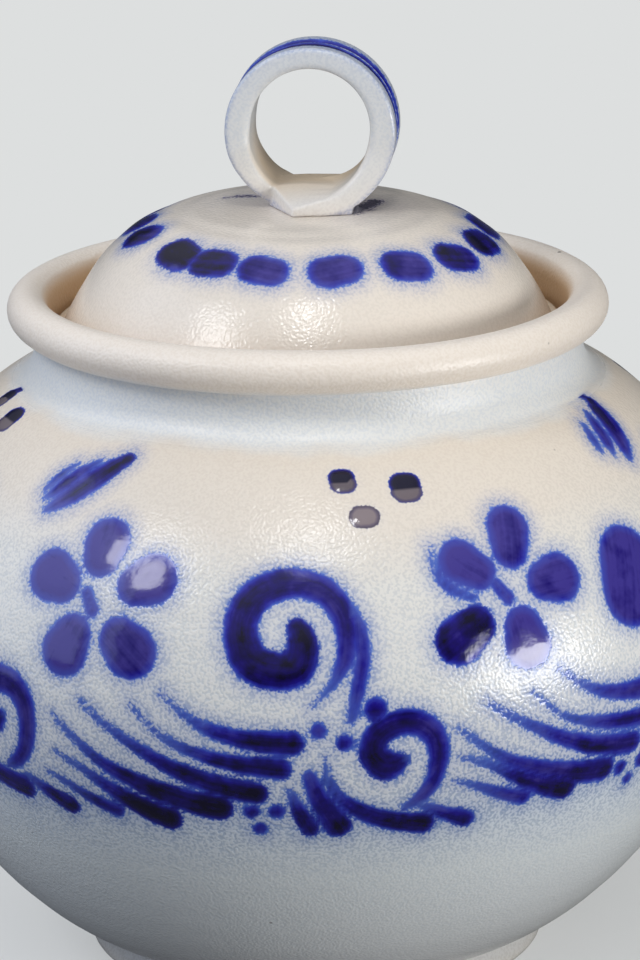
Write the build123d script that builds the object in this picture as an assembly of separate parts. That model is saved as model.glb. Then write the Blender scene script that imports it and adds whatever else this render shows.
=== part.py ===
from build123d import *
import math
import os

# A lidded pot of salt-glazed stoneware, built as a potter builds it: a thrown body with a rolled
# rim and a sunk ledge, a foot ring joined under it, a domed lid that drops onto the ledge, and a
# grooved strap bent into a ring, lapped over its own end and pressed onto the lid.
# Millimetres, +Z up. The origin is the middle of the foot's underside, on the table.

# Foot ring
foot_height = 8.0
foot_bottom_radius = 72.0
foot_flare = 2.0
foot_width = 13.0
foot_inner_taper = 2.5
foot_edge_round = 1.6

# Thrown body, from the foot up to the start of the neck
belly_radius = 136.0
belly_rise = 101.0
shoulder_rise = 74.5
base_slope_deg = 19.0
shoulder_slope_deg = 27.6
wall = 7.0
floor_thickness = 9.0
floor_inset = 4.0

# Handles of the belly's two curves, from the foot, below and above the widest point, at the neck
base_handle_share = 0.44
low_belly_handle_share = 0.44
high_belly_handle_share = 0.505
shoulder_handle_share = 0.425

# Neck, rolled rim and the ledge that carries the lid
rim_outer_radius = 93.0
rim_width = 12.8
rim_height = 13.6
neck_height = 15.1
neck_wall = 4.6
neck_flare = 7.2
gallery_depth = 16.2
ledge_width = 9.7
shelf_thickness = 9.1
neck_cove_shares = (0.42, 0.5)
neck_cove_slope_deg = 12.0

# Lid
flange_thickness = 4.0
flange_clearance = 1.4
flange_lip = 2.8
flange_edge_round = 1.5
skirt_clearance = 1.5
skirt_thickness = 4.0
skirt_depth = 8.0
dome_rise = 36.0
dome_edge_deg = 64.4
lid_wall = 6.5
seat_radius = 23.0
dome_top_handle_share = 0.515
dome_edge_handle_share = 0.867

# Ring handle on the lid
finger_hole_radius = 18.3
strap_side_thickness = 7.9
strap_top_thickness = 6.4
strap_width = 22.0
strap_edge_round = 2.0
hole_edge_round = 2.2
base_press = 1.4
groove_width = 4.6
groove_depth = 1.1
groove_spacing = 5.4
handle_shift = 2.3
handle_turn_deg = -5.6

# Lapped end of the strap: plan corners as shares of the ring's radius and the strap's width
lap_tip_thickness = 4.0
lap_spread = 5.5
lap_right_share = 0.42
lap_front_share = -0.27
lap_left_share = -0.55
lap_left_depth_share = 0.25
lap_back_share = 0.44
lap_root_share = 0.1

# A quarter of an ellipse drawn with one cubic curve
round_share = 0.5523
# How far a cutting or trimming shape runs past what it cuts
overrun = 5.0

# Heights and radii that follow from the sizes above
base_radius = foot_bottom_radius - foot_flare
belly_height = foot_height + belly_rise
neck_base_height = belly_height + shoulder_rise
crease_height = neck_base_height + neck_height
rim_top = crease_height + rim_height
rim_inner_radius = rim_outer_radius - rim_width
neck_radius = rim_inner_radius + neck_wall
neck_base_radius = neck_radius + neck_flare
ledge_height = rim_top - gallery_depth
throat_radius = rim_inner_radius - ledge_width
flange_radius = rim_inner_radius - flange_clearance
dome_edge_radius = flange_radius - flange_lip
dome_edge_height = ledge_height + flange_thickness
skirt_radius = throat_radius - skirt_clearance
seat_height = dome_edge_height + dome_rise
ring_radius = finger_hole_radius + strap_side_thickness
ring_height = seat_height + ring_radius - base_press
hole_lift = strap_side_thickness - strap_top_thickness
strap_base_thickness = ring_radius - base_press + hole_lift - finger_hole_radius


def on_slope(point, length, degrees):
    """The point a length away from another, in a direction measured up from level."""
    angle = math.radians(degrees)
    return (point[0] + length * math.cos(angle), point[1] + length * math.sin(angle))


def quarter_round(start, end, upright_first):
    """A quarter of an ellipse that leaves its start upright, or else level."""
    across = end[0] - start[0]
    rise = end[1] - start[1]
    if upright_first:
        near_start = (start[0], start[1] + round_share * rise)
        near_end = (end[0] - round_share * across, end[1])
    else:
        near_start = (start[0] + round_share * across, start[1])
        near_end = (end[0], end[1] - round_share * rise)
    return Bezier(start, near_start, near_end, end)


def belly_curves(base, widest, shoulder):
    """The belly's two curves, which meet upright at the widest point."""
    low_rise = widest[1] - base[1]
    high_rise = shoulder[1] - widest[1]
    base_handle = on_slope(base, base_handle_share * (widest[0] - base[0]), base_slope_deg)
    below = (widest[0], widest[1] - low_belly_handle_share * low_rise)
    above = (widest[0], widest[1] + high_belly_handle_share * high_rise)
    shoulder_length = shoulder_handle_share * (widest[0] - shoulder[0])
    shoulder_handle = on_slope(shoulder, shoulder_length, -shoulder_slope_deg)
    lower = Bezier(base, base_handle, below, widest)
    upper = Bezier(widest, above, shoulder_handle, shoulder)
    return lower, upper


def dome_curve(top, edge):
    """The lid's dome, level at its top and steep at its edge."""
    top_handle = (top[0] + dome_top_handle_share * (edge[0] - top[0]), top[1])
    edge_length = dome_edge_handle_share * (top[1] - edge[1])
    edge_handle = on_slope(edge, edge_length, 180 - dome_edge_deg)
    return Bezier(top, top_handle, edge_handle, edge)


def spun(outline):
    """The solid that a closed outline of (radius, height) edges makes round the pot's axis."""
    return revolve(Plane.XZ * make_face(outline), axis=Axis.Z)


def make_pot_body():
    """The thrown body: floor, belly, coved neck, rolled rim and the ledge inside the rim."""
    base = (base_radius, foot_height)
    widest = (belly_radius, belly_height)
    shoulder = (neck_base_radius, neck_base_height)
    outer_low, outer_high = belly_curves(base, widest, shoulder)

    crease = (neck_radius, crease_height)
    cove_low_length = neck_cove_shares[0] * neck_height
    cove_low = on_slope(shoulder, cove_low_length, 180 - neck_cove_slope_deg)
    cove_high = (neck_radius, crease_height - neck_cove_shares[1] * neck_height)
    cove = Bezier(shoulder, cove_low, cove_high, crease)

    rim_middle_height = crease_height + rim_height / 2
    rim_side = (rim_outer_radius, rim_middle_height)
    rim_crown = (rim_outer_radius - rim_width / 2, rim_top)
    rim_inside = (rim_inner_radius, rim_middle_height)
    rim = [
        quarter_round(crease, rim_side, upright_first=False),
        quarter_round(rim_side, rim_crown, upright_first=True),
        quarter_round(rim_crown, rim_inside, upright_first=False),
    ]

    slope = math.radians(shoulder_slope_deg)
    ledge_outside = (rim_inner_radius, ledge_height)
    ledge_inside = (throat_radius, ledge_height)
    throat_foot = (throat_radius, ledge_height - shelf_thickness)
    inner_shoulder = (
        neck_base_radius - wall * math.sin(slope),
        neck_base_height - wall * math.cos(slope),
    )
    inner_widest = (belly_radius - wall, belly_height)
    floor_edge = (base_radius - floor_inset, foot_height + floor_thickness)
    inner_low, inner_high = belly_curves(floor_edge, inner_widest, inner_shoulder)

    inside = [
        Line(rim_inside, ledge_outside),
        Line(ledge_outside, ledge_inside),
        Line(ledge_inside, throat_foot),
        Line(throat_foot, inner_shoulder),
        inner_high,
        inner_low,
        Line(floor_edge, (0, floor_edge[1])),
        Line((0, floor_edge[1]), (0, foot_height)),
        Line((0, foot_height), base),
    ]
    return spun([outer_low, outer_high, cove, *rim, *inside])


def make_foot_ring():
    """The foot ring: flared outside, tapered inside, with rounded edges where it stands."""
    inner_radius = foot_bottom_radius - foot_width
    top_outside = (base_radius, foot_height)
    top_inside = (inner_radius - foot_inner_taper, foot_height)
    low_outside = (foot_bottom_radius, foot_edge_round)
    low_inside = (inner_radius, foot_edge_round)
    stand_outside = (foot_bottom_radius - foot_edge_round, 0)
    stand_inside = (inner_radius + foot_edge_round, 0)
    return spun([
        Line(top_inside, top_outside),
        Line(top_outside, low_outside),
        quarter_round(low_outside, stand_outside, upright_first=True),
        Line(stand_outside, stand_inside),
        quarter_round(stand_inside, low_inside, upright_first=False),
        Line(low_inside, top_inside),
    ])


def make_lid():
    """The lid: a hollow dome with a flat seat on top, a flange that rests on the ledge and a skirt."""
    top = (seat_radius, seat_height)
    edge = (dome_edge_radius, dome_edge_height)
    lip_top = (flange_radius - flange_edge_round, dome_edge_height)
    lip_side = (flange_radius, dome_edge_height - flange_edge_round)
    lip_foot = (flange_radius, ledge_height)
    skirt_top = (skirt_radius, ledge_height)
    skirt_outside = (skirt_radius, ledge_height - skirt_depth)
    skirt_inner_radius = skirt_radius - skirt_thickness
    skirt_inside = (skirt_inner_radius, ledge_height - skirt_depth)
    inner_edge = (skirt_inner_radius, dome_edge_height)
    inner_top = (seat_radius, seat_height - lid_wall)
    return spun([
        Line((0, seat_height), top),
        dome_curve(top, edge),
        Line(edge, lip_top),
        quarter_round(lip_top, lip_side, upright_first=False),
        Line(lip_side, lip_foot),
        Line(lip_foot, skirt_top),
        Line(skirt_top, skirt_outside),
        Line(skirt_outside, skirt_inside),
        Line(skirt_inside, inner_edge),
        dome_curve(inner_top, inner_edge),
        Line(inner_top, (0, inner_top[1])),
        Line((0, inner_top[1]), (0, seat_height)),
    ])


def grooved_disc():
    """A disc of the strap's width and the ring's radius, with two grooves round its outer face."""
    half_width = strap_width / 2
    rim_low = (ring_radius, strap_edge_round - half_width)
    edges = [
        Line((0, -half_width), (ring_radius - strap_edge_round, -half_width)),
        quarter_round((ring_radius - strap_edge_round, -half_width), rim_low, upright_first=False),
    ]
    at = rim_low
    for middle in (-groove_spacing / 2, groove_spacing / 2):
        groove_start = (ring_radius, middle - groove_width / 2)
        groove_floor = (ring_radius - groove_depth, middle)
        groove_end = (ring_radius, middle + groove_width / 2)
        edges.append(Line(at, groove_start))
        edges.append(ThreePointArc(groove_start, groove_floor, groove_end))
        at = groove_end
    rim_high = (ring_radius, half_width - strap_edge_round)
    face_high = (ring_radius - strap_edge_round, half_width)
    edges.append(Line(at, rim_high))
    edges.append(quarter_round(rim_high, face_high, upright_first=True))
    edges.append(Line(face_high, (0, half_width)))
    edges.append(Line((0, half_width), (0, -half_width)))
    return spun(edges)


def lapped_end():
    """The strap's first end, under the ring: a tongue that thins to its slanting cut."""
    half_width = strap_width / 2
    right = lap_right_share * ring_radius
    left = lap_left_share * ring_radius
    back = lap_back_share * strap_width
    corners = [
        (right, -half_width),
        (lap_front_share * ring_radius, -half_width - lap_spread),
        (left, lap_left_depth_share * strap_width),
        (left, back),
        (right, back),
    ]
    plan = make_face(Polyline(*corners, close=True))
    prism = extrude(Plane.XY.offset(seat_height) * plan, amount=strap_base_thickness)
    wedge_side = [
        (left - overrun, seat_height),
        (right + overrun, seat_height),
        (right + overrun, seat_height + strap_base_thickness),
        (lap_root_share * ring_radius, seat_height + strap_base_thickness),
        (left, seat_height + lap_tip_thickness),
        (left - overrun, seat_height + lap_tip_thickness),
    ]
    side = Plane.XZ * make_face(Polyline(*wedge_side, close=True))
    return prism & extrude(side, amount=strap_width + lap_spread, both=True)


def finger_hole():
    """The tool for the ring's hole: a plug that flares where the strap's inner edges are rounded."""
    straight = strap_width / 2 - hole_edge_round
    flared_radius = finger_hole_radius + hole_edge_round
    plug_end = strap_width / 2 + overrun
    return spun([
        Line((0, -plug_end), (flared_radius, -plug_end)),
        Line((flared_radius, -plug_end), (flared_radius, -strap_width / 2)),
        quarter_round((flared_radius, -strap_width / 2), (finger_hole_radius, -straight), upright_first=False),
        Line((finger_hole_radius, -straight), (finger_hole_radius, straight)),
        quarter_round((finger_hole_radius, straight), (flared_radius, strap_width / 2), upright_first=True),
        Line((flared_radius, strap_width / 2), (flared_radius, plug_end)),
        Line((flared_radius, plug_end), (0, plug_end)),
        Line((0, plug_end), (0, -plug_end)),
    ])


def make_ring_handle():
    """The grooved strap bent into a ring, thinner at its top, flat where it sits on the lid."""
    upright = Pos(0, 0, ring_height) * Rot(90, 0, 0)
    ring = upright * grooved_disc() - Pos(0, 0, hole_lift) * upright * finger_hole()
    ring = split(ring, bisect_by=Plane.XY.offset(seat_height), keep=Keep.TOP)
    return Pos(handle_shift, 0, 0) * Rot(0, 0, handle_turn_deg) * (ring + lapped_end())


parts = {
    "pot_body": make_pot_body(),
    "foot_ring": make_foot_ring(),
    "lid": make_lid(),
    "ring_handle": make_ring_handle(),
}

os.makedirs("parts", exist_ok=True)
for name, solid in parts.items():
    export_step(solid, f"parts/{name}.step")
    print(name, round(solid.volume), [round(v, 2) for v in solid.bounding_box().size])
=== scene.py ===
# %% [markdown]
# # A lidded pot of salt-glazed stoneware
# The pot is thrown in pale clay, painted with cobalt, and fired in a kiln into which salt is thrown.
# The salt vapour makes the glaze, with the fine dimples that potters call orange peel.
# This lesson loads the solid model as a fixed frame and makes each piece again as a finer mesh:
# the body, its foot ring, the lid and the ring handle. Then it paints and lights them.

# %% Load the frame
import bpy
import bmesh
import math
import random
import numpy as np
from mathutils import Matrix, Vector
from mathutils.geometry import interpolate_bezier


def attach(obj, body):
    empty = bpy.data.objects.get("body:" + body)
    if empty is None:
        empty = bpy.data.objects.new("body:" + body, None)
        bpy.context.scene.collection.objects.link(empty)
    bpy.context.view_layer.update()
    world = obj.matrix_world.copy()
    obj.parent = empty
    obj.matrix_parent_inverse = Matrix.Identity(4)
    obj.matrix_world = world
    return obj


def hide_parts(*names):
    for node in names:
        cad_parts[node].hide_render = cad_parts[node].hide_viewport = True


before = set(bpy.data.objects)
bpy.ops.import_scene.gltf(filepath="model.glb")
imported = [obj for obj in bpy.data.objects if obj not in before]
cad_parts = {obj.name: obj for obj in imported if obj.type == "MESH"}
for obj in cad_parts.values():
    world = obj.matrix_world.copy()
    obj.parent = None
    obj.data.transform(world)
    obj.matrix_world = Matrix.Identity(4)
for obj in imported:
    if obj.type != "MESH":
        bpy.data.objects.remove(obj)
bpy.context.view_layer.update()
MM = 0.001

# %% [markdown]
# ## The camera
# The photograph looks a little down on the pot, from about 1.4 m away through a long lens, and the
# camera was held very slightly tilted. A long lens keeps the rim's ellipse flat, as it is there.

# %% Camera
camera_place = Vector((0, -1.3614, 0.5428))
camera_pitch_deg = 16.17
camera_roll_deg = -0.83
camera_lens_mm = 169.7
camera_sensor_mm = 36.0
camera_shift = 0.00995
nearest_seen = 0.05
camera_data = bpy.data.cameras.new("camera")
camera_data.lens = camera_lens_mm
camera_data.sensor_width = camera_sensor_mm
camera_data.shift_x = camera_shift
camera_data.clip_start = nearest_seen
camera = bpy.data.objects.new("camera", camera_data)
camera.matrix_world = (
    Matrix.Translation(camera_place)
    @ Matrix.Rotation(math.radians(90 - camera_pitch_deg), 4, "X")
    @ Matrix.Rotation(math.radians(camera_roll_deg), 4, "Z")
)
bpy.context.scene.collection.objects.link(camera)
bpy.context.scene.camera = camera
print("camera at", tuple(camera_place))

# %% [markdown]
# ## Drawing half-sections
# Everything thrown on a wheel is a half-section turned about the axis. A half-section is drawn here
# as runs of Bezier curve and straight line, vertex after vertex, and then spun. One curve object per
# pot would do as well; drawing straight into the bmesh lets each run have the rows that it needs.

# %% Half-section helpers
quarter_round_share = 0.5523
weld_gap = 0.002 * MM


def on_slope(point, length, degrees):
    """The point a length away from another, in a direction measured up from level."""
    angle = math.radians(degrees)
    return (point[0] + length * math.cos(angle), point[1] + length * math.sin(angle))


def draw_run(section, start, near_start, near_end, end, rows):
    """Draws one Bezier run, in (radius, height) mm, on from the section's last vertex."""
    corners = [Vector((r * MM, 0, z * MM)) for r, z in (start, near_start, near_end, end)]
    points = interpolate_bezier(*corners, rows + 1)
    section.verts.ensure_lookup_table()
    last = section.verts[-1] if len(section.verts) else section.verts.new(points[0])
    for point in points[1:]:
        vertex = section.verts.new(point)
        section.edges.new((last, vertex))
        last = vertex


def draw_line(section, start, end, rows=1):
    """Draws a straight run."""
    draw_run(section, start, start, end, end, rows)


def draw_round(section, start, end, upright_first, rows):
    """Draws a quarter of an ellipse that leaves its start upright, or else level."""
    across = quarter_round_share * (end[0] - start[0])
    rise = quarter_round_share * (end[1] - start[1])
    if upright_first:
        handles = (start[0], start[1] + rise), (end[0] - across, end[1])
    else:
        handles = (start[0] + across, start[1]), (end[0], end[1] - rise)
    draw_run(section, start, *handles, end, rows)


# %% [markdown]
# Spinning a long half-section all the way round at once is slow, so it is spun through an eighth of
# a turn, and that is copied and turned three times, which doubles it each time.

# %% Spinning, joining and finishing a mesh
def whole(section):
    """All the vertices, edges and faces of a bmesh."""
    return section.verts[:] + section.edges[:] + section.faces[:]


def spin_section(section, columns):
    """Spins the half-section once round, in so many columns, and closes the seams."""
    eighth = 2 * math.pi / 8
    bmesh.ops.spin(
        section, geom=section.verts[:] + section.edges[:], cent=(0, 0, 0), axis=(0, 0, 1),
        angle=eighth, steps=columns // 8,
    )
    for eighths in (1, 2, 4):
        copied = bmesh.ops.duplicate(section, geom=whole(section))
        moved = [v for v in copied["geom"] if isinstance(v, bmesh.types.BMVert)]
        onward = Matrix.Rotation(eighths * eighth, 3, "Z")
        bmesh.ops.rotate(section, verts=moved, cent=(0, 0, 0), matrix=onward)
    bmesh.ops.remove_doubles(section, verts=section.verts[:], dist=weld_gap)
    bmesh.ops.recalc_face_normals(section, faces=section.faces[:])


def join_to(section, other):
    """Adds another bmesh to a section, and frees the other."""
    spare = bpy.data.meshes.new("spare")
    other.to_mesh(spare)
    other.free()
    section.from_mesh(spare)
    bpy.data.meshes.remove(spare)


def make_piece(name, section, sharp_deg):
    """Makes a bmesh an object at the origin, smooth but for its sharp corners."""
    mesh = bpy.data.meshes.new(name)
    section.to_mesh(mesh)
    section.free()
    mesh.polygons.foreach_set("use_smooth", [True] * len(mesh.polygons))
    mesh.set_sharp_from_angle(angle=math.radians(sharp_deg))
    piece = bpy.data.objects.new(name, mesh)
    bpy.context.scene.collection.objects.link(piece)
    triangles = sum(len(p.vertices) - 2 for p in mesh.polygons)
    print(name, len(mesh.vertices), "vertices,", triangles, "triangles")
    return piece


# %% [markdown]
# ## The thrown body
# A round belly on a narrow base, a coved neck, a thick rolled rim and, inside the rim, a sunk ledge
# for the lid. The sizes are those of the solid model. The belly carries the painting, which is kept
# as numbers on the mesh's own vertices, so its rows there are only about 1.4 mm apart.

# %% Body: sizes, as (radius, height) in mm
base = (70.0, 8.0)
widest = (136.0, 109.0)
shoulder = (92.0, 183.5)
crease = (84.8, 198.6)
rim_side = (93.0, 205.4)
rim_crown = (86.6, 212.2)
rim_inside = (80.2, 205.4)
ledge_outside = (80.2, 196.0)
ledge_inside = (70.5, 196.0)
throat_foot = (70.5, 186.9)
inner_shoulder = (88.76, 177.3)
inner_widest = (129.0, 109.0)
floor_edge = (66.0, 17.0)
base_slope_deg, shoulder_slope_deg = 19.0, 27.6
base_handle_share, low_belly_share = 0.44, 0.44
high_belly_share, shoulder_handle_share = 0.505, 0.425


def draw_belly(section, low, middle, high, low_rows, high_rows, upwards=True):
    """Draws the belly's two curves, which meet upright at its widest point."""
    low_handle = on_slope(low, base_handle_share * (middle[0] - low[0]), base_slope_deg)
    below = (middle[0], middle[1] - low_belly_share * (middle[1] - low[1]))
    above = (middle[0], middle[1] + high_belly_share * (high[1] - middle[1]))
    shoulder_handle = shoulder_handle_share * (middle[0] - high[0])
    high_handle = on_slope(high, shoulder_handle, -shoulder_slope_deg)
    if upwards:
        draw_run(section, low, low_handle, below, middle, low_rows)
        draw_run(section, middle, above, high_handle, high, high_rows)
    else:
        draw_run(section, high, high_handle, above, middle, high_rows)
        draw_run(section, middle, below, low_handle, low, low_rows)


# %% [markdown]
# The wall's rows are kept as an outline of height and radius. Its length, measured up the wall from
# the foot, is the ruler that the painter's strokes are placed with further on.

# %% Body: the painted wall
painted_from = 74 * MM
painted_to = (widest[1] - 0.1) * MM


def outline_beyond(section, radius):
    """The half-section's vertices beyond a radius in mm, as rows of (height, radius) from the foot up."""
    return np.array(sorted((v.co.z / MM, v.co.x / MM) for v in section.verts if v.co.x > radius * MM))


def wall_ruler(outline):
    """An outline's heights, its radii and its length so far, in mm."""
    height, radius = outline[:, 0], outline[:, 1]
    steps = np.hypot(np.diff(height), np.diff(radius))
    return height, radius, np.concatenate([[0], np.cumsum(steps)])


body_section = bmesh.new()
draw_line(body_section, (0, base[1]), base, 2)
draw_belly(body_section, base, widest, shoulder, low_rows=36, high_rows=62)
fine = [e for e in body_section.edges if painted_from < min(v.co.z for v in e.verts) < painted_to]
bmesh.ops.subdivide_edges(body_section, edges=fine, cuts=2)
wall_height, wall_radius, wall_up = wall_ruler(outline_beyond(body_section, base[0] - 1))
print("painted wall:", len(fine), "edges refined,", len(wall_up), "rows,", round(wall_up[-1], 1), "mm long")

# %% Body: neck, rim, ledge and inside
neck_height = crease[1] - shoulder[1]
cove_low = on_slope(shoulder, 0.42 * neck_height, 168.0)
cove_high = (crease[0], crease[1] - 0.5 * neck_height)
body_columns = 544
neck_section = bmesh.new()
draw_run(neck_section, shoulder, cove_low, cove_high, crease, 10)
draw_round(neck_section, crease, rim_side, False, 7)
draw_round(neck_section, rim_side, rim_crown, True, 8)
draw_round(neck_section, rim_crown, rim_inside, False, 7)
inside_corners = [rim_inside, ledge_outside, ledge_inside, throat_foot, inner_shoulder]
for corner, following in zip(inside_corners, inside_corners[1:]):
    draw_line(neck_section, corner, following, 2)
draw_belly(neck_section, floor_edge, inner_widest, inner_shoulder, 9, 8, upwards=False)
draw_line(neck_section, floor_edge, (0, floor_edge[1]), 2)
join_to(body_section, neck_section)
bmesh.ops.remove_doubles(body_section, verts=body_section.verts[:], dist=weld_gap)
spin_section(body_section, body_columns)
print("body spun:", len(body_section.verts), "vertices")

# %% [markdown]
# ### The hand's work
# A wheel is turned by a foot and a wall is raised by fingers, so nothing is quite true. Shallow
# throwing rings run round the belly, and the rim rises and falls by a few tenths of a millimetre.
# They are moved into the mesh itself, because bump alone would leave the outline machine-made.

# %% Body: throwing rings and a wavering rim
random.seed(7)
ring_phases = [random.uniform(0, 2 * math.pi) for _ in range(6)]
ring_depth, ring_pitch, ring_wander = 0.06, 1.55, 0.9
swell_depth, swell_pitch, fading_pitch = 0.22, 31, 23
rim_wave, rim_flutter = 0.22, 0.12
thrown_from, thrown_to, unthrown_share = 12, 182, 0.25
floor_radius, rim_from = 60, 200


def throwing_ripple(turn, height):
    """How far, in mm, the wall stands out at a turn (radians) and height (mm)."""
    rings = ring_depth * math.sin(height / ring_pitch + ring_wander * math.sin(turn + ring_phases[0]))
    slow = math.sin(2 * turn + ring_phases[1]) * math.sin(height / swell_pitch + ring_phases[2])
    fading = 0.5 + 0.5 * math.sin(height / fading_pitch + ring_phases[3])
    return rings * fading + swell_depth * slow


for vertex in body_section.verts:
    radius = math.hypot(vertex.co.x, vertex.co.y) / MM
    height = vertex.co.z / MM
    if radius < floor_radius or height < base[1] + 0.01:
        continue
    turn = math.atan2(vertex.co.x, -vertex.co.y)
    outside = 1.0 if thrown_from < height < thrown_to else unthrown_share
    swell = 1 + outside * throwing_ripple(turn, height) / radius
    vertex.co.x *= swell
    vertex.co.y *= swell
    if height > rim_from:
        wave = rim_wave * math.sin(2 * turn + ring_phases[4])
        vertex.co.z += (wave + rim_flutter * math.sin(5 * turn + ring_phases[5])) * MM
pot_body = make_piece("stoneware_pot_body", body_section, 50)

# %% [markdown]
# ## The foot ring
# A ring of clay is joined under the base and trimmed to a slight flare, so the pot stands on a
# narrow edge. It is the same lathe work: an outline, this time closed, spun once round.

# %% Foot ring
foot_top_inside = (56.5, base[1])
foot_low_outside = (72.0, 1.6)
foot_stand_outside = (70.4, 0)
foot_stand_inside = (60.6, 0)
foot_low_inside = (59.0, 1.6)
foot_columns = 256
foot_section = bmesh.new()
draw_line(foot_section, foot_top_inside, base, 2)
draw_line(foot_section, base, foot_low_outside, 4)
draw_round(foot_section, foot_low_outside, foot_stand_outside, True, 4)
draw_line(foot_section, foot_stand_outside, foot_stand_inside, 3)
draw_round(foot_section, foot_stand_inside, foot_low_inside, False, 4)
draw_line(foot_section, foot_low_inside, foot_top_inside, 4)
spin_section(foot_section, foot_columns)
foot_ring = make_piece("stoneware_foot_ring", foot_section, 50)

# %% [markdown]
# ## The lid
# A hollow dome with a flange that lies on the ledge and a short skirt that drops into the throat, so
# the lid can't slide off. Its dome is painted too, so its rows are close together.

# %% Lid: sizes and half-section
seat = (23.0, 236.0)
dome_edge = (76.0, 200.0)
lip_top = (77.3, 200.0)
lip_side = (78.8, 198.5)
lip_foot = (78.8, 196.0)
skirt_top = (69.0, 196.0)
skirt_outside = (69.0, 188.0)
skirt_inside = (65.0, 188.0)
inner_edge = (65.0, 200.0)
inner_seat = (23.0, 229.5)
dome_top_share, dome_edge_share, dome_edge_deg = 0.515, 0.867, 64.4


def dome_handles(top, edge):
    """The handles of a dome's curve: level at its top, steep at its edge."""
    top_handle = (top[0] + dome_top_share * (edge[0] - top[0]), top[1])
    return top_handle, on_slope(edge, dome_edge_share * (top[1] - edge[1]), 180 - dome_edge_deg)


lid_section = bmesh.new()
draw_line(lid_section, (0, seat[1]), seat, 14)
draw_run(lid_section, seat, *dome_handles(seat, dome_edge), dome_edge, 66)
dome_height, dome_radius, dome_up = wall_ruler(outline_beyond(lid_section, seat[0] - 0.1))
draw_line(lid_section, dome_edge, lip_top, 2)
draw_round(lid_section, lip_top, lip_side, False, 4)
draw_line(lid_section, lip_side, lip_foot, 2)
draw_line(lid_section, lip_foot, skirt_top, 2)
draw_line(lid_section, skirt_top, skirt_outside, 3)
draw_line(lid_section, skirt_outside, skirt_inside, 2)
draw_line(lid_section, skirt_inside, inner_edge, 3)
inner_handles = dome_handles(inner_seat, inner_edge)
draw_run(lid_section, inner_edge, inner_handles[1], inner_handles[0], inner_seat, 14)
draw_line(lid_section, inner_seat, (0, inner_seat[1]), 3)
print("dome", round(dome_up[-1], 1), "mm long from edge to seat")

# %% Lid: spun, with its own throwing rings
lid_columns = 424
lid_ring_depth, lid_ring_pitch, lid_swell = 0.14, 1.6, 0.18
rippled_from, rippled_over = 27, 12
spin_section(lid_section, lid_columns)
for vertex in lid_section.verts:
    if vertex.co.z > (dome_edge[1] + 1) * MM:
        turn = math.atan2(vertex.co.x, -vertex.co.y)
        radius = math.hypot(vertex.co.x, vertex.co.y) / MM
        ripple = lid_ring_depth * math.sin(radius / lid_ring_pitch + math.sin(turn))
        ripple += lid_swell * math.sin(3 * turn + ring_phases[2])
        vertex.co.z += ripple * MM * min(1.0, max(0.0, (radius - rippled_from) / rippled_over))
lid = make_piece("stoneware_lid", lid_section, 50)

# %% [markdown]
# ## The ring handle
# A flat strap with two grooves pulled along it was bent into a ring. It starts as a tongue pressed
# onto the lid, goes up on the right, over the top, and comes down a little further back on its own
# start. So its section is spun about the ring's own axis with a small step backwards at each turn,
# as a coil spring is, and the tongue is a plate with a sloping top. A voxel remesh then grows the two
# together, and smoothing rounds them as wet clay would be.

# %% Ring: grooved strap, spun about its own axis
ring_axis_height = 260.8
ring_middle = Vector((0, 0, ring_axis_height * MM))
ring_inner, ring_outer, strap_half = 18.3, 26.2, 11.0
front_groove, rear_groove = 0.5, 1.1
front_floor, rear_floor = ring_outer - front_groove, ring_outer - rear_groove
strap_outline = [
    (ring_inner, -strap_half), (ring_outer, -strap_half), (ring_outer, -5.2), (front_floor, -4.2),
    (front_floor, -1.2), (ring_outer, -0.3), (ring_outer, 0.3), (rear_floor, 1.2),
    (rear_floor, 4.2), (ring_outer, 5.2), (ring_outer, strap_half), (ring_inner, strap_half),
]
start_turn = math.radians(5)
start_way = Vector((math.sin(start_turn), 0, -math.cos(start_turn)))
ring_mesh = bmesh.new()
corners = [
    ring_mesh.verts.new(ring_middle + (start_way * out + Vector((0, back, 0))) * MM)
    for out, back in strap_outline
]
for corner, following in zip(corners, corners[1:] + corners[:1]):
    ring_mesh.edges.new((corner, following))
bmesh.ops.spin(
    ring_mesh, geom=ring_mesh.verts[:] + ring_mesh.edges[:], cent=ring_middle, axis=(0, 1, 0),
    angle=2 * start_turn - 2 * math.pi, steps=128,
)
bmesh.ops.holes_fill(ring_mesh, edges=[e for e in ring_mesh.edges if e.is_boundary], sides=0)
bmesh.ops.recalc_face_normals(ring_mesh, faces=ring_mesh.faces[:])
print("strap ring:", len(ring_mesh.faces), "faces")


# %% Ring: rounded edges
def strap_edges(ring, radius):
    """The edge loops at the strap's two sides, at a distance in mm from the ring's axis."""
    def on_side(vertex):
        out = (vertex.co - ring_middle) / MM
        return abs(abs(out.y) - strap_half) < 0.01 and abs(math.hypot(out.x, out.z) - radius) < 0.01
    return [e for e in ring.edges if all(on_side(v) for v in e.verts)]


for radius, rounding in ((ring_outer, 1.2), (ring_inner, 2.0)):
    bmesh.ops.bevel(
        ring_mesh, geom=strap_edges(ring_mesh, radius), offset=rounding * MM, offset_type="OFFSET",
        affect="EDGES", segments=3, profile=0.5, material=-1,
    )
print("strap ring with round edges:", len(ring_mesh.faces), "faces")

# %% [markdown]
# The coil now gets its step: its start stands forward and its end slips back behind the start. The
# strap is thinned at the front where it starts, and a thumb pressed its back edge down beside that.
# The hole sits a little above the ring's own middle, and the bottom is cut flat to meet the lid.

# %% Ring: coil, thin start, hole and seat
first_set, last_set = -5.0, 8.0
last_lift = -1.6
hole_lift = 1.3
start_thinning = 3.8
last_thinning = 3.4
back_pressing = 1.2
inner_face, outer_face = 20.5, 24.0


def clamp(value):
    """The value, or each value of an array, held between 0 and 1."""
    return np.clip(value, 0.0, 1.0)


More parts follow.
